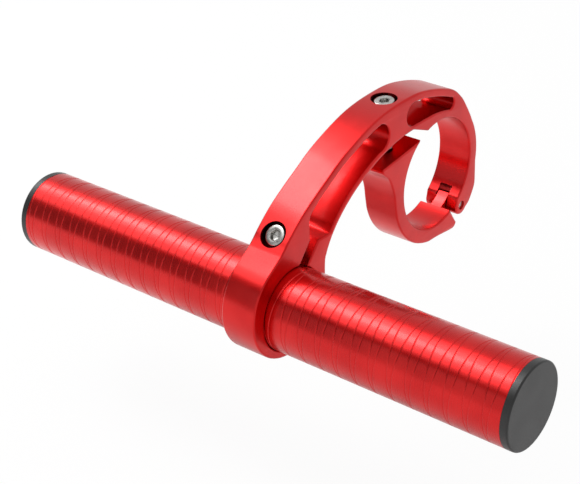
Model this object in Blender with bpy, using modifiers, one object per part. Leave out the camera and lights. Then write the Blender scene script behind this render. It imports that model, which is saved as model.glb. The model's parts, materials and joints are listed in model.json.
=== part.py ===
"""Handlebar extender: a short accessory tube carried beside a bicycle's handlebar.

One machined arm clamps the handlebar at its upper end, with a hinged jaw and a screw, and holds the
accessory tube at its lower end, in a split ring that a second screw pinches.

Frame: origin on the handlebar's axis, halfway through the arm. X runs along the handlebar and the
tube, Y from the tube towards the handlebar, Z up. Metres throughout.
"""

from math import acos, asin, atan2, cos, degrees, pi, radians, sin, sqrt

import bmesh
import bpy
from mathutils import Matrix, Vector

# Handlebar clamp
handlebar_diameter = 0.0318
clamp_wall = 0.0036
jaw_wall = 0.0041
clamp_start_deg = -48.0
clamp_tip_deg = 111.0
clamp_tilt_deg = 8.0
jaw_face_height = 0.0143
jaw_face_length = 0.0180

# Arm
arm_width = 0.0104
edge_round = 0.0005
arm_crown_height = 0.0276
arm_shoulder_height = 0.0215
crest_height = 0.0175
underside_fullness = 1.75
front_skin = 0.0024
eye_skin = 0.0023
rear_skin = 0.0016
window_end = 0.0238
eye_start = 0.0160
eye_end = 0.0063
eye_floor = 0.0026

# Accessory tube, and where its axis lies from the handlebar's
tube_diameter = 0.0222
tube_wall = 0.0018
tube_length = 0.152
tube_shift = -0.0039
tube_reach = 0.0635
tube_drop = 0.0135

# Split ring that holds the tube
ring_wall = 0.0032
ring_bias = 0.0018
ring_bias_deg = 117.0
ring_pad_height = 0.0134
ring_gap = 0.00008
slot_width = 0.0034
slot_angle_deg = 52.0
slot_offset = 0.0029
slot_length = 0.0182

# Hinge of the jaw
hinge_angle_deg = -48.4
hinge_radius = 0.0195
pin_diameter = 0.0025
pin_recess = 0.0007
lug_radius = 0.0028
knuckle_radius = 0.0027
tongue_width = 0.0035
tongue_side_gap = 0.0002
hinge_gap = 0.0006
heel_gap = 0.0015
heel_depth = 0.0023
running_gap = 0.00008

# Socket-head screws
screw_diameter = 0.0030
ring_screw_length = 0.014
head_diameter = 0.0055
head_height = 0.0030
socket_width = 0.0025
socket_depth = 0.0014
recess_diameter = 0.0071
screw_gap = 0.00008
ring_screw_height = 0.0148
ring_screw_depth = 0.0007
bar_screw_offset = 0.0155
bar_screw_depth = 0.0005
bar_screw_travel = 0.0020
bar_screw_tip_gap = 0.00035
jaw_hole_depth = 0.0060

# End caps
cap_flange = 0.0020
cap_rim_round = 0.0005
plug_length = 0.012
plug_wall = 0.0015
plug_gap = 0.00005
seat_gap = 0.00005

# Facets on round shapes
ROUND_STEPS = 80
SMALL_STEPS = 40

# Colours
RED = (0.52, 0.02, 0.03)
STEEL = (0.55, 0.54, 0.52)
BLACK = (0.045, 0.045, 0.045)

bore_radius = handlebar_diameter / 2
tube_radius = tube_diameter / 2
ring_bore = tube_radius + ring_gap
TUBE_AXIS = Vector((-tube_reach, -tube_drop))


def polar(radius, degrees, centre=(0.0, 0.0)):
    """A point in the side view, which has Y to the right and Z up."""
    a = radians(degrees)
    return Vector((centre[0] + radius * cos(a), centre[1] + radius * sin(a)))


def arc(centre, radius, start, end, step=4.0):
    """Points along an arc of the side view, from one angle in degrees to another."""
    count = max(2, round(abs(end - start) / step))
    return [polar(radius, start + (end - start) * i / count, centre) for i in range(count + 1)]


def smooth(knots, steps=6):
    """Points on a Catmull-Rom curve through the knots."""
    ends = [2 * knots[0] - knots[1], *knots, 2 * knots[-1] - knots[-2]]
    points = []
    for a, b, c, d in zip(ends, ends[1:], ends[2:], ends[3:]):
        for i in range(steps):
            t = i / steps
            lift = (2 * a - 5 * b + 4 * c - d) * t * t + (3 * b - a - 3 * c + d) * t**3
            points.append(b + 0.5 * ((c - a) * t + lift))
    return [*points, knots[-1]]


def offset(points, distance):
    """The same line moved to its left by distance, as seen going along it."""
    moved = []
    for i, point in enumerate(points):
        along = (points[min(i + 1, len(points) - 1)] - points[max(i - 1, 0)]).normalized()
        moved.append(point + distance * Vector((-along.y, along.x)))
    return moved


def height_at(points, y):
    """Height of a line where it crosses y, for a line that runs towards +Y."""
    for a, b in zip(points, points[1:]):
        if a.x <= y <= b.x:
            return a.y + (b.y - a.y) * (y - a.x) / (b.x - a.x)
    return points[-1].y if y > points[-1].x else points[0].y


def between(points, low, high):
    """The points of a line whose y lies between two limits."""
    return [p for p in points if low < p.x < high]


def angle_of(point):
    return degrees(atan2(point.y, point.x))


def tangent_angle(centre, radius, point):
    """Angle on a circle where the line to a point above it leaves as a tangent on the point's left."""
    away = point - centre
    return angle_of(away) + degrees(acos(radius / away.length))


def end_round(upper, lower, edge, side):
    """Centre and radius of the half round that closes the space between two lines at y = edge."""
    radius = 0.5 * (height_at(upper, edge) - height_at(lower, edge))
    for _ in range(6):
        y = edge + side * radius
        radius = 0.5 * (height_at(upper, y) - height_at(lower, y))
    return Vector((y, height_at(lower, y) + radius)), radius


def rounded_window(upper, lower, start, end):
    """Outline between two lines that run towards +Y, closed by a half round at each end."""
    left, left_radius = end_round(upper, lower, start, 1)
    right, right_radius = end_round(upper, lower, end, -1)
    return (
        arc(left, left_radius, 270, 90, 15)
        + between(upper, left.x + 0.3 * left_radius, right.x - 0.3 * right_radius)
        + arc(right, right_radius, 90, -90, 15)
        + between(lower, left.x + 0.3 * left_radius, right.x - 0.3 * right_radius)[::-1]
    )


# Direction of the ring's slot in the side view, and across it towards the screw's head
slot_along = polar(1, slot_angle_deg)
slot_across = polar(1, slot_angle_deg + 90)

# Direction of the handlebar screw, out of its head, and across it
bar_screw_up = polar(1, 90 + clamp_tilt_deg)
bar_screw_across = polar(1, clamp_tilt_deg)

HINGE = polar(hinge_radius, hinge_angle_deg)


def in_slot(along, across):
    return TUBE_AXIS + along * slot_along + across * slot_across


def ring_outside():
    """Centre and radius of the ring's outside, off the tube's axis, so that the wall is thickest above."""
    return TUBE_AXIS + polar(ring_bias, ring_bias_deg), ring_bore + ring_wall


def outer_line():
    """The arm's upper outline, from the ring over the screw's pad and the crown to the clamp."""
    centre, radius = ring_outside()
    clamp_radius = bore_radius + clamp_wall
    pad_end = in_slot(ring_screw_height + 0.0059, ring_pad_height - 0.0012)
    shoulder = Vector((-0.66 * tube_reach, arm_shoulder_height))
    crown = Vector((-bar_screw_offset + 0.0005, arm_crown_height))
    rise = crown - shoulder
    knots = [
        in_slot(ring_screw_height - 0.0048, ring_pad_height + 0.0004),
        in_slot(ring_screw_height - 0.0024, ring_pad_height + 0.0001),
        in_slot(ring_screw_height + 0.0005, ring_pad_height - 0.0002),
        pad_end,
        pad_end + 0.24 * (shoulder - pad_end) + Vector((-0.0001, 0.0003)),
        pad_end + 0.56 * (shoulder - pad_end) + Vector((-0.0001, 0.0003)),
        shoulder,
        shoulder + Vector((0.48 * rise.x, 0.76 * rise.y)),
        crown,
        Vector((0.37 * crown.x, arm_crown_height - 0.0010)),
        polar(clamp_radius + 0.0044, 78),
        polar(clamp_radius + 0.0026, 63),
        polar(clamp_radius + 0.0010, 50),
        polar(clamp_radius + 0.0002, 38),
    ]
    leave = polar(radius, tangent_angle(centre, radius, knots[0]), centre)
    return leave, smooth(knots)


def inner_line():
    """The arm's lower outline, from the ring in a full curve to the crest beside the clamp."""
    centre, radius = ring_outside()
    start = polar(radius, 17, centre)
    crest = Vector((-bar_screw_offset + 0.0030, crest_height))
    rise = crest - start
    power = 2 / underside_fullness
    curve = [
        start + Vector((rise.x * (1 - cos(t) ** power), rise.y * sin(t) ** power))
        for t in (pi / 2 * i / 24 for i in range(2, 25))
    ]
    return smooth([polar(radius, 5, centre), polar(radius, 11, centre), *curve], 2)


def arm_outlines():
    """The arm's outline and its two holes: ring with slot and long window, and the eye over the clamp."""
    leave, outer = outer_line()
    inner = inner_line()
    centre, radius = ring_outside()
    clamp_radius = bore_radius + clamp_wall
    flank = [
        polar(clamp_radius, -8),
        HINGE + Vector((clamp_radius + 0.0001 - HINGE.x, 0.0072)),
        HINGE + Vector((clamp_radius - HINGE.x, 0.0039)),
        HINGE + Vector((lug_radius + 0.0015, -0.0001)),
        polar(lug_radius, -35, HINGE),
    ]
    outline = arc(centre, radius, 364, angle_of(leave - centre), 5)
    outline += outer
    outline += arc((0, 0), clamp_radius, 34, -4, 5)
    outline += smooth(flank, 4)
    outline += arc(HINGE, lug_radius, -45, -200, 10)
    outline += arc((0, 0), bore_radius, clamp_start_deg, clamp_tip_deg, 3)
    outline += inner[::-1][:-1]

    left = slot_offset + slot_width / 2
    right = slot_offset - slot_width / 2
    left_angle = slot_angle_deg + degrees(asin(left / ring_bore))
    right_angle = slot_angle_deg + degrees(asin(right / ring_bore))
    shelf = in_slot(slot_length, right)
    upper = offset(outer, -front_skin)
    lower = offset(inner, rear_skin)
    end, end_radius = end_round(upper, lower, -window_end, -1)
    rear = [p for p in lower if p.y > shelf.y + 0.0012 and p.x < end.x - 0.3 * end_radius]
    corner = rear[0]
    front = between(upper, shelf.x + 0.0002, end.x - 0.3 * end_radius)
    slot = arc(TUBE_AXIS, ring_bore, left_angle, right_angle + 360)
    sill = [Vector((corner.x - 0.0022, shelf.y - 0.0001)), Vector((corner.x - 0.0008, shelf.y + 0.0003))]
    slot += [shelf, *sill]
    slot += [*rear, *arc(end, end_radius, -90, 90, 15), *front[::-1]]
    slot_mouth = in_slot(slot_length - 0.0010, left)
    cheek = [slot_mouth + Vector((0.0001, 0.0066)), slot_mouth + Vector((-0.0002, 0.0030))]
    slot += smooth([front[0], *cheek, slot_mouth], 4)[1:]

    web = Vector((inner[-1].x - 0.0016, inner[-1].y + 0.0013))
    floor = smooth([
        web - Vector((0.004, 0)),
        web,
        polar(bore_radius + eye_floor + 0.0011, 106),
        polar(bore_radius + eye_floor + 0.0002, 93),
        polar(bore_radius + eye_floor - 0.0003, 76),
        polar(bore_radius + eye_floor - 0.0003, 60),
    ])
    eye = rounded_window(offset(outer, -eye_skin), floor, -eye_start, eye_end)
    return outline, slot, eye


def clean_scene():
    for obj in list(bpy.data.objects):
        bpy.data.objects.remove(obj, do_unlink=True)
    groups = []
    for name in ("handlebar_extender", "cutters"):
        group = bpy.data.collections.new(name)
        bpy.context.scene.collection.children.link(group)
        groups.append(group)
    groups[1].hide_render = True
    return groups


def material(name, colour, roughness, metallic):
    made = bpy.data.materials.new(name)
    made.use_nodes = True
    shader = made.node_tree.nodes["Principled BSDF"]
    shader.inputs["Base Color"].default_value = (*colour, 1.0)
    shader.inputs["Roughness"].default_value = roughness
    shader.inputs["Metallic"].default_value = metallic
    return made


def add(name, mesh, group, surface=None, place=(0, 0, 0)):
    obj = bpy.data.objects.new(name, mesh)
    obj.location = place
    group.objects.link(obj)
    if surface:
        mesh.materials.clear()
        mesh.materials.append(surface)
    return obj


def shade(mesh):
    mesh.shade_smooth()
    mesh.set_sharp_from_angle(angle=radians(30))


def plate(name, outlines, width, edge, group, origin=(0.0, 0.0)):
    """A flat plate across X with rounded edges, from closed lines of the side view: its edge, then holes."""
    curve = bpy.data.curves.new(name + "_outline", "CURVE")
    curve.dimensions = "2D"
    curve.fill_mode = "BOTH"
    curve.extrude = width / 2 - edge
    curve.bevel_depth = edge
    curve.bevel_resolution = 1
    curve.offset = -edge
    for outline in outlines:
        spline = curve.splines.new("POLY")
        spline.points.add(len(outline) - 1)
        for point, place in zip(spline.points, outline):
            point.co = (place.x - origin[0], place.y - origin[1], 0, 1)
        spline.use_cyclic_u = True
    guide = bpy.data.objects.new(name + "_outline", curve)
    group.objects.link(guide)
    graph = bpy.context.evaluated_depsgraph_get()
    mesh = bpy.data.meshes.new_from_object(guide.evaluated_get(graph))
    bpy.data.objects.remove(guide)
    side_view = Matrix(((0, 0, 1), (1, 0, 0), (0, 1, 0))).to_4x4()
    mesh.transform(side_view)
    form = bmesh.new()
    form.from_mesh(mesh)
    bmesh.ops.remove_doubles(form, verts=form.verts, dist=1e-6)
    bmesh.ops.recalc_face_normals(form, faces=form.faces)
    form.to_mesh(mesh)
    form.free()
    mesh.name = name
    return mesh


def cylinder(name, radius, length, group, base, direction, steps=SMALL_STEPS):
    """A cylinder cutter that starts at base in the side view and runs along direction."""
    form = bmesh.new()
    bmesh.ops.create_cone(form, cap_ends=True, segments=steps, radius1=radius, radius2=radius, depth=length)
    bmesh.ops.translate(form, verts=form.verts, vec=(0, 0, length / 2))
    mesh = bpy.data.meshes.new(name)
    form.to_mesh(mesh)
    form.free()
    obj = add(name, mesh, group, place=(0, base.x, base.y))
    obj.rotation_euler = Vector((0, direction.x, direction.y)).to_track_quat("Z", "X").to_euler()
    obj.display_type = "WIRE"
    obj.hide_render = True
    return obj


def across_pin(name, radius, width, group, centre, steps=SMALL_STEPS):
    """A cylinder across X, as a mesh cutter or a pin."""
    form = bmesh.new()
    bmesh.ops.create_cone(form, cap_ends=True, segments=steps, radius1=radius, radius2=radius, depth=width)
    bmesh.ops.rotate(form, verts=form.verts, matrix=Matrix.Rotation(pi / 2, 3, "Y"))
    mesh = bpy.data.meshes.new(name)
    form.to_mesh(mesh)
    form.free()
    return add(name, mesh, group, place=(0, centre.x, centre.y))


def as_cutter(obj):
    obj.display_type = "WIRE"
    obj.hide_render = True
    return obj


def combine(obj, other, operation="DIFFERENCE"):
    step = obj.modifiers.new(other.name, "BOOLEAN")
    step.operation = operation
    step.solver = "EXACT"
    step.object = other


def turned(name, profile, steps, group):
    """A mesh turned about local Z from (radius, height) points that run down its outer side."""
    line = bpy.data.meshes.new(name + "_profile")
    links = [(i, i + 1) for i in range(len(profile) - 1)]
    if profile[0][0] > 0:
        links.append((len(profile) - 1, 0))
    line.from_pydata([(r, 0, z) for r, z in profile], links, [])
    guide = bpy.data.objects.new(name + "_profile", line)
    group.objects.link(guide)
    turn = guide.modifiers.new("turn", "SCREW")
    turn.steps = steps
    turn.render_steps = steps
    turn.use_merge_vertices = True
    turn.merge_threshold = 0.000001
    graph = bpy.context.evaluated_depsgraph_get()
    mesh = bpy.data.meshes.new_from_object(guide.evaluated_get(graph))
    bpy.data.objects.remove(guide)
    mesh.name = name
    return mesh


def make_arm(parts, cutters, surface):
    outline, slot, eye = arm_outlines()
    mesh = plate("arm", [outline, slot, eye], arm_width, edge_round, cutters)
    arm = add("arm", mesh, parts, surface)

    slot_start = polar(1, hinge_angle_deg + 90)
    depth = 0.012
    middle = HINGE + slot_start * (knuckle_radius + hinge_gap - depth)
    form = bmesh.new()
    bmesh.ops.create_cube(form, size=1)
    bmesh.ops.scale(form, verts=form.verts, vec=(tongue_width + 2 * tongue_side_gap, 2 * depth, 2 * depth))
    fork_mesh = bpy.data.meshes.new("fork_gap")
    form.to_mesh(fork_mesh)
    form.free()
    fork = as_cutter(add("fork_gap", fork_mesh, cutters, place=(0, middle.x, middle.y)))
    fork.rotation_euler = (radians(hinge_angle_deg), 0, 0)
    combine(arm, fork)

    pin_hole = across_pin("arm_pin_hole", pin_diameter / 2 + running_gap, 2 * arm_width, cutters, HINGE)
    combine(arm, as_cutter(pin_hole))

    long_run = 4 * recess_diameter
    ring_axis = in_slot(ring_screw_height, 0)
    floor = ring_screw_seat()
    combine(arm, cylinder("ring_screw_recess", recess_diameter / 2, long_run, cutters,
                          ring_axis + floor * slot_across, slot_across))
    hole_radius = screw_diameter / 2 + screw_gap
    combine(arm, cylinder("ring_screw_hole", hole_radius, long_run, cutters,
                          ring_axis + (floor + 0.001) * slot_across, -slot_across))

    bar_axis = -bar_screw_offset * bar_screw_across
    seat = bar_screw_seat() - bar_screw_travel
    combine(arm, cylinder("bar_screw_recess", recess_diameter / 2, long_run, cutters,
                          bar_axis + seat * bar_screw_up, bar_screw_up))
    combine(arm, cylinder("bar_screw_hole", hole_radius, seat - jaw_face_height, cutters,
                          bar_axis + (seat + 0.001) * bar_screw_up, -bar_screw_up))
    return arm


def surface_along(points, start, direction):
    """Distance from start along direction to where that ray crosses a line of points."""
    for a, b in zip(points, points[1:]):
        edge = b - a
        cross = direction.x * edge.y - direction.y * edge.x
        if abs(cross) < 1e-12:
            continue
        gap = a - start
        along = (gap.x * edge.y - gap.y * edge.x) / cross
        share = (gap.x * direction.y - gap.y * direction.x) / cross
        if 0 <= share <= 1 and along > 0:
            return along
    return 0.0


def ring_screw_seat():
    """How far above the slot's middle plane line the ring screw's head sits."""
    leave, outer = outer_line()
    top = surface_along([leave, *outer], in_slot(ring_screw_height, 0), slot_across)
    return top - ring_screw_depth - head_height


def bar_screw_seat():
    """How far above the handlebar's axis the underside of the handlebar screw's head is, backed out."""
    _, outer = outer_line()
    top = surface_along(outer, -bar_screw_offset * bar_screw_across, bar_screw_up)
    return top - bar_screw_depth - head_height


def jaw_outline():
    """The jaw's outline, and where its heel face starts, with the directions along it and out of it."""
    face_end = -sqrt(bore_radius**2 - jaw_face_height**2)
    outer_radius = bore_radius + jaw_wall
    far = (face_end - jaw_face_length) * bar_screw_across + jaw_face_height * bar_screw_up
    corner = far + 0.0013 * bar_screw_across - 0.0009 * bar_screw_up
    flank = [
        far + 0.0010 * bar_screw_across - 0.0020 * bar_screw_up,
        far + 0.0031 * bar_screw_across - 0.0046 * bar_screw_up,
        polar(outer_radius + 0.0008, 175),
        polar(outer_radius, 187),
        polar(outer_radius, 197),
    ]
    out = polar(1, hinge_angle_deg + 84)
    along = polar(1, hinge_angle_deg - 6)
    foot = HINGE - (lug_radius + heel_gap) * out
    underside = [
        polar(outer_radius, 262),
        polar(outer_radius, 275),
        foot + (heel_depth - 0.0003) * along - 0.0030 * out,
        foot + (heel_depth + 0.0005) * along - 0.0016 * out,
        foot + (heel_depth + 0.0004) * along - 0.0006 * out,
        foot + heel_depth * along,
    ]
    reach = foot.dot(along) - sqrt(bore_radius**2 - foot.dot(out) ** 2)
    start = foot - reach * along
    end = face_end * bar_screw_across + jaw_face_height * bar_screw_up
    outline = arc(corner, 0.0009, 90 + clamp_tilt_deg, 219 + clamp_tilt_deg, 20)
    outline += smooth(flank, 4)
    outline += arc((0, 0), outer_radius, 201, 258, 5)
    outline += smooth(underside, 4)
    outline += arc((0, 0), bore_radius, angle_of(start), angle_of(end) - 360, 3)
    return outline, foot, along, out


def make_jaw(parts, cutters, surface):
    outline, foot, along, out = jaw_outline()
    place = (0, HINGE.x, HINGE.y)
    mesh = plate("clamp_jaw", [outline], arm_width, edge_round, cutters, HINGE)
    jaw = add("clamp_jaw", mesh, parts, surface, place)

    inside = bore_radius + 0.0003
    tongue = arc((0, 0), inside, hinge_angle_deg - 24, hinge_angle_deg + 4, 4)
    tongue += arc(HINGE, knuckle_radius, 75, -80, 10)
    tongue += [foot + (heel_depth - 0.0005) * along - 0.0014 * out]
    strap_mesh = plate("tongue", [tongue], tongue_width, edge_round / 3, cutters, HINGE)
    strap = as_cutter(add("tongue", strap_mesh, cutters, place=place))
    combine(jaw, strap, "UNION")

    pin_hole = across_pin("jaw_pin_hole", pin_diameter / 2 + running_gap, 2 * arm_width, cutters, HINGE)
    combine(jaw, as_cutter(pin_hole))
    top = -bar_screw_offset * bar_screw_across + (jaw_face_height + 0.001) * bar_screw_up
    combine(jaw, cylinder("jaw_screw_hole", screw_diameter / 2 + screw_gap, jaw_hole_depth + 0.001,
                          cutters, top, -bar_screw_up))
    return jaw


def make_screw(name, parts, cutters, surface, seat, direction, length):
    """A socket-head screw whose head's underside is at seat and whose head points along direction."""
    edge = 0.0003
    head = head_diameter / 2
    shank = screw_diameter / 2
    profile = [
        (0, head_height), (head - edge, head_height), (head, head_height - edge), (head, 0),
        (shank, 0), (shank, edge - length), (shank - edge, -length), (0, -length),
    ]
    mesh = turned(name, profile, SMALL_STEPS, cutters)
    shade(mesh)
    screw = add(name, mesh, parts, surface, (0, seat.x, seat.y))
    screw.rotation_euler = Vector((0, direction.x, direction.y)).to_track_quat("Z", "X").to_euler()
    corner = socket_width / 2 / cos(pi / 6)
    socket = cylinder(name + "_socket", corner, head_height, cutters,
                      seat + (head_height - socket_depth) * direction, direction, 6)
    combine(screw, socket)
    return screw


def make_tube(parts, cutters, surface):
    half = tube_length / 2
    inner = tube_radius - tube_wall
    edge = 0.0003
    profile = [
        (tube_radius - edge, half), (tube_radius, half - edge),
        (tube_radius, edge - half), (tube_radius - edge, -half),
        (inner + edge, -half), (inner, edge - half),
        (inner, half - edge), (inner + edge, half),
    ]
    mesh = turned("extension_tube", profile, ROUND_STEPS, cutters)
    shade(mesh)
    tube = add("extension_tube", mesh, parts, surface, (tube_shift, TUBE_AXIS.x, TUBE_AXIS.y))
    tube.rotation_euler = (0, pi / 2, 0)
    return tube


def make_cap(name, parts, cutters, surface, side):
    """An end cap with a flange as wide as the tube and a hollow plug inside it."""
    plug = tube_radius - tube_wall - plug_gap
    bore = plug - plug_wall
    crown = [
        (tube_radius - cap_rim_round * (1 - cos(t)), cap_flange - cap_rim_round * (1 - sin(t)))
        for t in (pi / 2 * i / 4 for i in range(5))
    ]
    profile = [
        (0, cap_flange), *crown[::-1], (tube_radius, 0), (plug, 0), (plug, 0.0008 - plug_length),
        (plug - 0.0008, -plug_length), (bore, -plug_length), (bore, -seat_gap), (0, -seat_gap),
    ]
    mesh = turned(name, profile, ROUND_STEPS, cutters)
    shade(mesh)
    reach = tube_length / 2 + seat_gap
    cap = add(name, mesh, parts, surface, (tube_shift + side * reach, TUBE_AXIS.x, TUBE_AXIS.y))
    cap.rotation_euler = (0, side * pi / 2, 0)
    return cap


def make_pin(parts, surface):
    length = arm_width - 2 * pin_recess
    pin = across_pin("hinge_pin", pin_diameter / 2, length, parts, HINGE)
    pin.data.materials.append(surface)
    shade(pin.data)
    return pin


def main():
    parts, cutters = clean_scene()
    arm = make_arm(parts, cutters, material("arm_red_anodised", RED, 0.32, 0.75))
    jaw = make_jaw(parts, cutters, material("jaw_red_anodised", RED, 0.32, 0.75))
    for piece in (arm, jaw):
        shade(piece.data)
    make_pin(parts, material("pin_steel", STEEL, 0.30, 1.0))
    make_tube(parts, cutters, material("tube_red_anodised", RED, 0.25, 0.80))
    make_cap("end_cap_right", parts, cutters, material("right_cap_plastic", BLACK, 0.55, 0.0), 1)
    make_cap("end_cap_left", parts, cutters, material("left_cap_plastic", BLACK, 0.55, 0.0), -1)

    seat = in_slot(ring_screw_height, ring_screw_seat())
    steel = material("tube_screw_steel", STEEL, 0.30, 1.0)
    make_screw("tube_clamp_screw", parts, cutters, steel, seat, slot_across, ring_screw_length)
    seat = bar_screw_seat() * bar_screw_up - bar_screw_offset * bar_screw_across
    steel = material("bar_screw_steel", STEEL, 0.30, 1.0)
    reach = bar_screw_seat() - jaw_face_height - bar_screw_tip_gap
    make_screw("bar_clamp_screw", parts, cutters, steel, seat, bar_screw_up, reach)


main()
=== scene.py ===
import json
from math import cos, pi, radians, sin

import bmesh
import bpy
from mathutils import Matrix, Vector
from mathutils.bvhtree import BVHTree


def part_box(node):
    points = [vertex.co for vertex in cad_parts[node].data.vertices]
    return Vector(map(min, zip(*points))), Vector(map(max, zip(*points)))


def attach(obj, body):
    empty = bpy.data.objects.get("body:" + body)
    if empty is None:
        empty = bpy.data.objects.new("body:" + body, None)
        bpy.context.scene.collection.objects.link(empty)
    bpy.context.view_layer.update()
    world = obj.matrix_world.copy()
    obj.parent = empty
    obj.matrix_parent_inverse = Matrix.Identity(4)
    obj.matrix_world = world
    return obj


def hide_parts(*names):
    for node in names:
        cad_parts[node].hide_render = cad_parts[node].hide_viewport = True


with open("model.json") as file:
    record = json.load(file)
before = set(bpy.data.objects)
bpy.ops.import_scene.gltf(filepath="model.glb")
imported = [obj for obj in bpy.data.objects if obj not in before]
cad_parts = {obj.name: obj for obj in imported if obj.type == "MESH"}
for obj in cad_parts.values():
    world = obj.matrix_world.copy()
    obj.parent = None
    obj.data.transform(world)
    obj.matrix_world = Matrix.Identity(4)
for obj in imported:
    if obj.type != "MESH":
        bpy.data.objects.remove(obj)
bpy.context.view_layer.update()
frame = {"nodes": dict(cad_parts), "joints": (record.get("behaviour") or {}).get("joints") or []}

nodes = frame["nodes"]

# Camera, fitted to the photograph
CAMERA_AT = (0.2095, -0.3191, 0.1801)
CAMERA_TURN = (radians(61.902), 0, radians(38.768))
CAMERA_LENS = 94.70

# The floor is low enough for the jaw to hang open over it. The shares are how white it looks, straight
# and in metal
FLOOR_HEIGHT = -0.062
FLOOR_HALF_SIZE = 6.0
FLOOR_GREY = 0.74
FLOOR_WHITE_SEEN = 0.93
FLOOR_WHITE_MIRRORED = 0.2

# The room's grey, and the dark that the tube mirrors low on the left and in a strip higher up
ROOM_GREY = 0.78
SHADE_GREY = 0.03
LEFT_SHADE = 0.80

# Tube: its wall, and two crossing helical grooves, one right-hand and one left-hand. The profile gives
# places across a cell, as shares of the pitch, with the groove's depth at each as a share of the full depth
TUBE_WALL = 0.0018
GROOVE_PITCH = 0.00522
GROOVE_DEPTH = 0.00011
GROOVE_CROSSING = radians(48)
GROOVE_START = 0.07094
GROOVE_PROFILE = ((0.0, 1.0), (0.018, 0.62), (0.034, 0.06), (0.046, 0.0))
GROOVE_STEPS = 30

# Socket-head screws, and the recess round each head. The lift keeps a head clear of its seat
HEAD_RADIUS = 0.00275
HEAD_HEIGHT = 0.0030
HEAD_LIFT = 0.00002
SHANK_RADIUS = 0.0015
THREAD_ROOT = 0.00122
THREAD_PITCH = 0.0005
THREAD_STEPS = 6
KNURL_DEPTH = 0.00006
SOCKET_MOUTH = 0.00175
SOCKET_APOTHEM = 0.00125
SOCKET_DEPTH = 0.0015
SCREW_SIDES = 48
RECESS_RADIUS = 0.00355
# Painted shade: the darker red painted on the arm's walls round each screw head, to a little past the
# recess's radius
RECESS_SHADE_MARGIN = 0.00004
RECESS_SHADE_COLOUR = (0.10, 0.004, 0.005, 1)

# The arm's windows, each from one Y to another above a height, and the furthest apart that their walls
# and the slot's stand
WINDOWS = ((-0.0575, -0.0230, 0.0010), (-0.0165, 0.0070, 0.0168))
WINDOW_LENGTH = 0.045
SLOT_WIDTH = 0.006

# Shading: edges sharper than these angles stay sharp, and points closer than this are one
SHARP_ANGLE = radians(50)
SCREW_SHARP_ANGLE = radians(32)
WELD_DISTANCE = 1e-7


# Shader helpers

class Nodes:
    """A short way to write a material's or world's nodes."""

    def __init__(self, tree):
        self.tree = tree
        self.tree.nodes.clear()

    def add(self, kind):
        return self.tree.nodes.new(kind)

    def put(self, value, socket):
        if isinstance(value, bpy.types.NodeSocket):
            self.tree.links.new(value, socket)
        elif isinstance(value, bpy.types.Node):
            self.tree.links.new(value.outputs[0], socket)
        else:
            socket.default_value = value

    def math(self, operation, *values):
        node = self.add("ShaderNodeMath")
        node.operation = operation
        for value, socket in zip(values, node.inputs):
            self.put(value, socket)
        return node.outputs[0]

    def step(self, value, low, high, to_low=0.0, to_high=1.0):
        """value eased from to_low at low to to_high at high."""
        node = self.add("ShaderNodeMapRange")
        node.interpolation_type = "SMOOTHSTEP"
        for given, socket in zip((value, low, high, to_low, to_high), node.inputs):
            self.put(given, socket)
        return node.outputs[0]

    def mix(self, amount, first, second):
        node = self.add("ShaderNodeMix")
        node.data_type = "RGBA"
        self.put(amount, node.inputs["Factor"])
        self.put(first, node.inputs["A"])
        self.put(second, node.inputs["B"])
        return node.outputs["Result"]

    def noise(self, place, scale, detail, stretch=(1, 1, 1)):
        """Noise in the object's own space, from 0 to 1, with scale times stretch grains per metre."""
        mapping = self.add("ShaderNodeMapping")
        self.put(place, mapping.inputs["Vector"])
        mapping.inputs["Scale"].default_value = tuple(scale * s for s in stretch)
        noise = self.add("ShaderNodeTexNoise")
        self.put(mapping, noise.inputs["Vector"])
        noise.inputs["Scale"].default_value = 1.0
        noise.inputs["Detail"].default_value = detail
        return noise.outputs["Fac"]

    def vector(self, operation, output, *values):
        node = self.add("ShaderNodeVectorMath")
        node.operation = operation
        for value, socket in zip(values, node.inputs):
            self.put(value, socket)
        return node.outputs[output]

    def within(self, place, point, axis, radius, height):
        """1 in a cylinder of this radius about the axis, from just below point to height above it."""
        away = self.vector("SUBTRACT", "Vector", place, point)
        aside = self.vector("LENGTH", "Value", self.vector("CROSS_PRODUCT", "Vector", away, axis))
        along = self.vector("DOT_PRODUCT", "Value", away, axis)
        near = self.step(aside, radius - 0.00002, radius + 0.00002, 1.0, 0.0)
        above = self.math("GREATER_THAN", along, -0.0002)
        below = self.math("LESS_THAN", along, height)
        return self.math("MULTIPLY", near, self.math("MULTIPLY", above, below))

    def bump(self, height, distance, strength, below=None):
        node = self.add("ShaderNodeBump")
        node.inputs["Strength"].default_value = strength
        node.inputs["Distance"].default_value = distance
        self.put(height, node.inputs["Height"])
        if below:
            self.put(below, node.inputs["Normal"])
        return node.outputs["Normal"]


def new_material(name, **constants):
    """A Principled material: its nodes, the shader and the object-space position."""
    made = bpy.data.materials.new(name)
    made.use_nodes = True
    tree = Nodes(made.node_tree)
    shader = tree.add("ShaderNodeBsdfPrincipled")
    output = tree.add("ShaderNodeOutputMaterial")
    tree.put(shader.outputs["BSDF"], output.inputs["Surface"])
    for key, value in constants.items():
        shader.inputs[key.replace("_", " ")].default_value = value
    place = tree.add("ShaderNodeTexCoord").outputs["Object"]
    return made, tree, shader, place


# Materials

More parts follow.
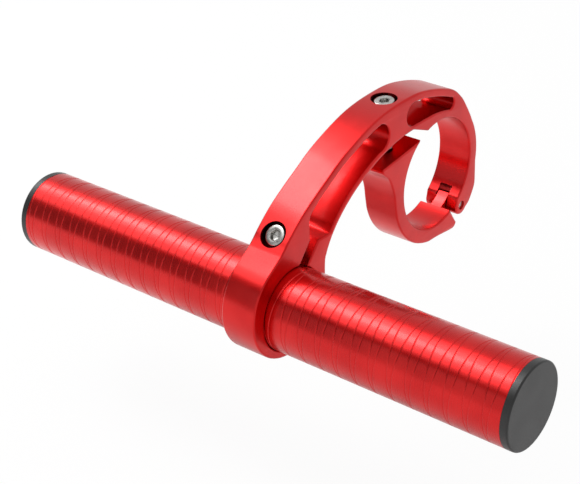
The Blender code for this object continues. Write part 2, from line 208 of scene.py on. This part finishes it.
def anodised(name, dye, roughness, turned=False, coat=0.30, edge=(1, 1, 1), shaded_recesses=()):
    """Red anodised aluminium: dyed metal under a thin clear oxide, with fine machining lines.

    dye is its deep and its light colour, mixed in clouds. The recesses given last, each a point and an
    outward axis through its floor, get painted shade: their walls are painted darker, under a thinner coat.
    """
    made, tree, shader, place = new_material(
        name, Metallic=1.0, Coat_Roughness=0.16, Coat_IOR=1.55, Specular_Tint=(*edge, 1)
    )
    cloud = tree.noise(place, 90, 4)
    grain = tree.noise(place, 9000, 2)
    if turned:
        lines = tree.noise(place, 1.0, 5, (9000, 60, 60))
    else:
        lines = tree.noise(place, 1.0, 4, (700, 5200, 5200))
    deep, light = dye
    colour = tree.mix(tree.step(cloud, 0.35, 0.68), (*deep, 1), (*light, 1))
    # Painted shade: each screw head's recess is painted a darker red on its walls, with a thinner coat
    for point, axis in shaded_recesses:
        recess_shade = tree.within(place, point, axis, RECESS_RADIUS + RECESS_SHADE_MARGIN, HEAD_HEIGHT)
        colour = tree.mix(recess_shade, colour, RECESS_SHADE_COLOUR)
        coat = tree.math("MULTIPLY", tree.step(recess_shade, 0.0, 1.0, 1.0, 0.2), coat)
    tree.put(colour, shader.inputs["Base Color"])
    tree.put(coat, shader.inputs["Coat Weight"])
    wear = tree.math("ADD", tree.math("MULTIPLY", lines, 0.10), tree.math("MULTIPLY", cloud, 0.06))
    tree.put(tree.math("ADD", wear, roughness - 0.08), shader.inputs["Roughness"])
    fine = tree.bump(lines, 0.00002, 0.10 if turned else 0.05)
    tree.put(tree.bump(grain, 0.00001, 0.10, fine), shader.inputs["Normal"])
    return made


def moulded_black(name, deep, light, roughness, depth):
    """Black moulded plastic: a fine spark-eroded grain of some depth, and slightly uneven black."""
    made, tree, shader, place = new_material(name, Metallic=0.0, Specular_IOR_Level=0.45)
    grain = tree.noise(place, 7000, 3)
    patch = tree.noise(place, 160, 4)
    tree.put(
        tree.mix(tree.step(patch, 0.3, 0.7), (deep, deep, deep, 1), (light, light, light, 1)),
        shader.inputs["Base Color"],
    )
    tree.put(tree.step(grain, 0.3, 0.7, roughness - 0.06, roughness + 0.06), shader.inputs["Roughness"])
    tree.put(tree.bump(grain, depth, 0.25), shader.inputs["Normal"])
    return made


def stainless(name, deep, light, roughness):
    """Plain stainless steel, with fine drawn lines and a little staining."""
    made, tree, shader, place = new_material(name, Metallic=1.0)
    stain = tree.noise(place, 700, 4)
    lines = tree.noise(place, 1.0, 3, (12000, 1500, 1500))
    tree.put(
        tree.mix(tree.step(stain, 0.35, 0.7), (*deep, 1), (*light, 1)),
        shader.inputs["Base Color"],
    )
    tree.put(tree.step(lines, 0.3, 0.7, roughness - 0.07, roughness + 0.07), shader.inputs["Roughness"])
    tree.put(tree.bump(lines, 0.00001, 0.12), shader.inputs["Normal"])
    return made


# Mesh helpers

def piece(name, form, material, body, node):
    """A new piece from a bmesh: it rides on a body and stands for a CAD node."""
    bmesh.ops.recalc_face_normals(form, faces=form.faces)
    mesh = bpy.data.meshes.new(name)
    form.to_mesh(mesh)
    form.free()
    mesh.materials.append(material)
    mesh.shade_smooth()
    obj = bpy.data.objects.new(name, mesh)
    bpy.context.scene.collection.objects.link(obj)
    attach(obj, body)
    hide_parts(node)
    return obj


def skin_rings(form, rings):
    """Faces between rings of points, each with the same count, and one face across each end."""
    made = [[form.verts.new(p) for p in ring] for ring in rings]
    for a, b in zip(made, made[1:]):
        for i in range(len(a)):
            k = (i + 1) % len(a)
            form.faces.new((a[i], a[k], b[k], b[i]))
    form.faces.new(made[0])
    form.faces.new(made[-1])


def measure(node, axis):
    """A round node along an axis: its centre line's foot, lowest and highest reach, two directions across."""
    across = axis.orthogonal().normalized()
    up = axis.cross(across)
    reach = []
    for direction in (axis, across, up):
        values = [v.co.dot(direction) for v in nodes[node].data.vertices]
        reach.append((min(values), max(values)))
    centre = across * sum(reach[1]) / 2 + up * sum(reach[2]) / 2
    return centre, reach[0][0], reach[0][1], across, up


def recess(node, axis):
    """The recess a screw's head sits in: the point on its axis where the head bears, and the way out."""
    centre, _, top, _, _ = measure(node, axis)
    return centre + axis * (top - HEAD_HEIGHT), axis


# The tube with its grooves

def groove_samples():
    """Places across one cell, from groove to groove, and the groove's depth at each."""
    start = [place for place, _ in GROOVE_PROFILE]
    depths = dict(GROOVE_PROFILE)
    low, high = start[-1], 1 - start[-1]
    even = [low + (high - low) * i / GROOVE_STEPS for i in range(1, GROOVE_STEPS)]
    places = [*start, *even, *(1 - place for place in reversed(start))]
    return [(place, depths.get(min(place, round(1 - place, 6)), 0.0)) for place in places]


def groove_cell(form, centre, radius, i, j):
    """The surface between right-hand groove i, left-hand groove j and the next of each."""
    samples = groove_samples()
    grid = []
    for u, depth_u in samples:
        row = []
        for v, depth_v in samples:
            turn = pi * (j + v - i - u) + GROOVE_CROSSING
            x = GROOVE_START + GROOVE_PITCH * (i + u + j + v) / 2
            r = radius - GROOVE_DEPTH * max(depth_u, depth_v)
            row.append(form.verts.new((x, centre.y + r * cos(turn), centre.z + r * sin(turn))))
        grid.append(row)
    for a, b in zip(grid, grid[1:]):
        for k in range(len(a) - 1):
            form.faces.new((a[k], b[k], b[k + 1], a[k + 1]))


def square_end(form, centre, inner_radius, x, side):
    """Cut the tube square at x and turn its rim in to the inner radius."""
    everything = [*form.verts, *form.edges, *form.faces]
    bmesh.ops.bisect_plane(
        form, geom=everything, dist=1e-8, plane_co=(x, 0, 0), plane_no=(side, 0, 0), clear_outer=True
    )
    rim = [e for e in form.edges if e.is_boundary and all(abs(v.co.x - x) < 1e-6 for v in e.verts)]
    made = bmesh.ops.extrude_edge_only(form, edges=rim)["geom"]
    for vert in (v for v in made if isinstance(v, bmesh.types.BMVert)):
        away = Vector((0, vert.co.y - centre.y, vert.co.z - centre.z)).normalized()
        vert.co = Vector((x, centre.y, centre.z)) + away * inner_radius


def make_tube(material):
    low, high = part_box("extension_tube")
    centre = (low + high) / 2
    radius = (high.z - low.z) / 2
    form = bmesh.new()
    first = int((low.x - GROOVE_START) / GROOVE_PITCH) - 2
    last = int((high.x - GROOVE_START) / GROOVE_PITCH) + 2
    for i in range(first, last + 1):
        for j in (i, i + 1):
            groove_cell(form, centre, radius, i, j)
    bmesh.ops.remove_doubles(form, verts=form.verts, dist=2 * WELD_DISTANCE)
    for x, side in ((low.x, -1), (high.x, 1)):
        square_end(form, centre, radius - TUBE_WALL, x, side)
    tube = piece("grooved_tube", form, material, "tube", "extension_tube")
    tube.data.set_sharp_from_angle(angle=SHARP_ANGLE)
    return tube


# Socket-head screws with a cut thread

def make_screw(name, node, body, axis, material):
    centre, tip, top, across, up = measure(node, axis)

    def ring(height, radius_at):
        points = []
        for i in range(SCREW_SIDES):
            turn = 2 * pi * i / SCREW_SIDES
            r = radius_at(turn)
            points.append(centre + axis * height + (across * cos(turn) + up * sin(turn)) * r)
        return points

    def plain(radius):
        return lambda turn: radius

    def knurl(radius):
        return lambda turn: radius - KNURL_DEPTH * (round(turn / (2 * pi) * SCREW_SIDES) % 2)

    def hexagon(scale):
        return lambda turn: scale * SOCKET_APOTHEM / cos((turn % (pi / 3)) - pi / 6)

    def thread(height):
        def radius_at(turn):
            share = ((height - tip) / THREAD_PITCH - turn / (2 * pi)) % 1
            crest = min(1.0, 1.25 * (1 - abs(2 * share - 1)))
            return THREAD_ROOT + (SHANK_RADIUS - THREAD_ROOT) * crest
        return radius_at

    seat = top - HEAD_HEIGHT + HEAD_LIFT
    thread_start = tip + 0.0006
    thread_end = seat - 0.0006
    socket_floor = top - SOCKET_DEPTH
    steps = int((thread_end - thread_start) / THREAD_PITCH * THREAD_STEPS)
    threaded = [thread_start + THREAD_PITCH * k / THREAD_STEPS for k in range(steps + 1)]
    profile = [
        (tip, plain(THREAD_ROOT * 0.7)),
        (tip + 0.0003, plain(THREAD_ROOT)),
        *((height, thread(height)) for height in threaded),
        (thread_end + 0.0001, plain(THREAD_ROOT)),
        (seat - 0.0001, plain(SHANK_RADIUS)),
        (seat, plain(SHANK_RADIUS)),
        (seat, plain(HEAD_RADIUS - 0.0001)),
        (seat + 0.0001, knurl(HEAD_RADIUS)),
        (top - 0.0005, knurl(HEAD_RADIUS)),
        (top - 0.0004, plain(HEAD_RADIUS - 0.00004)),
        (top - 0.00012, plain(HEAD_RADIUS - 0.00012)),
        (top, plain(HEAD_RADIUS - 0.00035)),
        (top, plain(SOCKET_MOUTH)),
        (top - 0.00002, hexagon(1.13)),
        (top - 0.0002, hexagon(1.0)),
        (top - 0.0003, hexagon(0.998)),
        (socket_floor + 0.0001, hexagon(0.995)),
        (socket_floor, hexagon(0.93)),
        (socket_floor - 0.0003, plain(0.0003)),
    ]
    form = bmesh.new()
    skin_rings(form, [ring(height, radius_at) for height, radius_at in profile])
    screw = piece(name, form, material, body, node)
    screw.data.set_sharp_from_angle(angle=SCREW_SHARP_ANGLE)
    return screw


# Stage

def make_stage():
    """A floor that looks white and still takes the object's shadow."""
    size = FLOOR_HALF_SIZE
    mesh = bpy.data.meshes.new("floor")
    corners = [(-size, -size, 0), (size, -size, 0), (size, size, 0), (-size, size, 0)]
    mesh.from_pydata(corners, [], [(0, 1, 2, 3)])
    floor = bpy.data.objects.new("floor", mesh)
    floor.location.z = FLOOR_HEIGHT
    bpy.context.scene.collection.objects.link(floor)
    made = bpy.data.materials.new("floor_white")
    made.use_nodes = True
    tree = Nodes(made.node_tree)
    output = tree.add("ShaderNodeOutputMaterial")
    matt = tree.add("ShaderNodeBsdfDiffuse")
    matt.inputs["Color"].default_value = (FLOOR_GREY, FLOOR_GREY, FLOOR_GREY, 1)
    white = tree.add("ShaderNodeEmission")
    white.inputs["Strength"].default_value = 1.0
    rays = tree.add("ShaderNodeLightPath")
    seen = tree.math("MULTIPLY", rays.outputs["Is Camera Ray"], FLOOR_WHITE_SEEN)
    mirrored = tree.math("MULTIPLY", rays.outputs["Is Glossy Ray"], FLOOR_WHITE_MIRRORED)
    seen = tree.math("MAXIMUM", seen, mirrored)
    mixed = tree.add("ShaderNodeMixShader")
    tree.put(seen, mixed.inputs["Fac"])
    tree.put(matt.outputs[0], mixed.inputs[1])
    tree.put(white.outputs[0], mixed.inputs[2])
    tree.put(mixed.outputs[0], output.inputs["Surface"])
    mesh.materials.append(made)


def make_world():
    """A pale room with a dark left side and a dark strip, which give the tube its dark bands.

    The camera itself sees it white.
    """
    world = bpy.data.worlds.new("studio")
    bpy.context.scene.world = world
    world.use_nodes = True
    tree = Nodes(world.node_tree)
    split = tree.add("ShaderNodeSeparateXYZ")
    tree.put(tree.add("ShaderNodeTexCoord").outputs["Generated"], split.inputs[0])
    x, y, z = split.outputs
    front = tree.step(y, -0.12, -0.02, 1.0, 0.0)
    below_light = tree.step(z, 0.60, 0.64, 1.0, 0.0)
    left = tree.step(x, -0.56, -0.53, 1.0, 0.0)
    strip = tree.step(z, 0.46, 0.54)
    dark = tree.math("MAXIMUM", tree.math("MULTIPLY", left, LEFT_SHADE), strip)
    dark = tree.math("MULTIPLY", tree.math("MULTIPLY", dark, front), below_light)
    room = (ROOM_GREY, ROOM_GREY, ROOM_GREY, 1)
    shade = (SHADE_GREY, SHADE_GREY, SHADE_GREY, 1)
    level = tree.mix(dark, room, shade)
    rays = tree.add("ShaderNodeLightPath")
    level = tree.mix(rays.outputs["Is Camera Ray"], level, (1, 1, 1, 1))
    background = tree.add("ShaderNodeBackground")
    tree.put(level, background.inputs["Color"])
    background.inputs["Strength"].default_value = 1.0
    output = tree.add("ShaderNodeOutputWorld")
    tree.put(background.outputs[0], output.inputs["Surface"])


def make_lamp(name, place, turn, size, power):
    """A lamp that shines straight down, turned about the vertical by so many degrees."""
    lamp = bpy.data.lights.new(name, "AREA")
    lamp.shape = "RECTANGLE"
    lamp.size, lamp.size_y = size
    lamp.energy = power
    obj = bpy.data.objects.new(name, lamp)
    obj.location = place
    obj.rotation_euler.z = radians(turn)
    bpy.context.scene.collection.objects.link(obj)
    return obj


def make_camera():
    data = bpy.data.cameras.new("camera")
    data.lens = CAMERA_LENS
    data.sensor_width = 36
    data.sensor_fit = "HORIZONTAL"
    data.clip_start = 0.01
    camera = bpy.data.objects.new("camera", data)
    camera.location = CAMERA_AT
    camera.rotation_euler = CAMERA_TURN
    bpy.context.scene.collection.objects.link(camera)
    bpy.context.scene.camera = camera


# Pieces made from the CAD solids, with their curved faces shaded round

def solid_copy(name, node, body, material, second=None, choose=None):
    """A welded copy of a CAD solid that stands for it. The faces chosen get the second material."""
    form = plain_form(nodes[node].data)
    if second:
        for face in choose(form):
            face.material_index = 1
    copy = piece(name, form, material, body, node)
    if second:
        copy.data.materials.append(second)
    copy.data.set_sharp_from_angle(angle=SHARP_ANGLE)
    weighted = copy.modifiers.new("weighted_normals", "WEIGHTED_NORMAL")
    weighted.keep_sharp = True
    return copy


def plain_form(mesh):
    """The mesh's triangles alone, welded, without the shading that came with them."""
    form = bmesh.new()
    verts = [form.verts.new(v.co) for v in mesh.vertices]
    for triangle in mesh.polygons:
        form.faces.new([verts[i] for i in triangle.vertices])
    bmesh.ops.remove_doubles(form, verts=form.verts, dist=WELD_DISTANCE)
    return form


def flat_ends(form):
    """The faces square to the tube."""
    form.normal_update()
    return [face for face in form.faces if abs(face.normal.x) > 0.99]


def screw_face(form):
    """The topmost faces square to the screw that closes the jaw."""
    axis = next(Vector(j["axis"]) for j in frame["joints"] if j["child"] == "bar_screw")
    form.normal_update()
    square = [face for face in form.faces if face.normal.dot(axis) < -0.995]
    top = min(face.calc_center_median().dot(axis) for face in square)
    return [face for face in square if face.calc_center_median().dot(axis) < top + 0.0002]


def window_walls(form):
    """The walls of the arm's two windows and of its slot: each faces another wall close by."""
    form.normal_update()
    tree = BVHTree.FromBMesh(form)
    found = []
    for face in form.faces:
        if abs(face.normal.x) > 0.3:
            continue
        middle = face.calc_center_median()
        hit = tree.ray_cast(middle + face.normal * 0.0001, face.normal, WINDOW_LENGTH)[3]
        within = any(low < middle.y < high and middle.z > sill for low, high, sill in WINDOWS)
        if hit and (within or hit < SLOT_WIDTH):
            found.append(face)
    return found


def main():
    bpy.context.scene.view_settings.view_transform = "Standard"
    make_camera()
    make_stage()
    make_world()
    make_lamp("softbox", (-0.60, -0.28, 0.80), 0, (1.3, 0.88), 4.6)
    make_lamp("softbox_middle", (-0.56, -0.11, 0.795), -39, (0.80, 0.46), 2.6)
    make_lamp("softbox_core", (-0.55, -0.12, 0.79), -39, (0.62, 0.18), 2.4)

    axes = {j["child"]: Vector(j["axis"]) for j in frame["joints"] if j["type"] == "slide"}
    # The screw-head recesses in the arm, whose walls get painted shade
    shaded_recesses = [
        recess("tube_clamp_screw", axes["tube_screw"]),
        recess("bar_clamp_screw", -axes["bar_screw"]),
    ]
    bright = ((0.60, 0.008, 0.009), (0.69, 0.014, 0.014))
    # A darker copy of the dye: painted shade on the walls of the arm's windows and slot and on the jaw's face
    # under the arm
    shaded_dye = ((0.55, 0.007, 0.008), (0.63, 0.011, 0.011))
    turned = ((0.58, 0.009, 0.010), (0.67, 0.014, 0.014))
    arm_red = anodised("arm_red", bright, 0.30, shaded_recesses=shaded_recesses)
    # Painted shade: a darker, duller red with a thinner coat
    pocket_shade_red = anodised("pocket_shade_red", shaded_dye, 0.40, coat=0.18, edge=(0.7, 0.3, 0.3))
    jaw_red = anodised("jaw_red", bright, 0.30)
    tube_red = anodised("tube_red", turned, 0.28, turned=True)
    cap_rim = moulded_black("cap_rim", 0.010, 0.015, 0.36, 0.00001)
    cap_face = moulded_black("cap_face", 0.040, 0.050, 0.50, 0.00003)
    screw_steel = stainless("screw_steel", (0.42, 0.41, 0.39), (0.58, 0.57, 0.55), 0.29)
    pin_steel = stainless("pin_steel", (0.66, 0.64, 0.61), (0.80, 0.78, 0.74), 0.50)
    # The arm's window and slot walls and the jaw's face under the arm take the painted shade
    solid_copy("curved_arm", "arm", "bracket", arm_red, pocket_shade_red, window_walls)
    solid_copy("hinged_jaw", "clamp_jaw", "jaw", jaw_red, pocket_shade_red, screw_face)
    solid_copy("cap_left", "end_cap_left", "tube", cap_rim, cap_face, flat_ends)
    solid_copy("cap_right", "end_cap_right", "tube", cap_rim, cap_face, flat_ends)
    solid_copy("steel_pin", "hinge_pin", "bracket", pin_steel)
    make_tube(tube_red)

    make_screw("ring_screw", "tube_clamp_screw", "tube_screw", axes["tube_screw"], screw_steel)
    make_screw("jaw_screw", "bar_clamp_screw", "bar_screw", -axes["bar_screw"], screw_steel)


main()
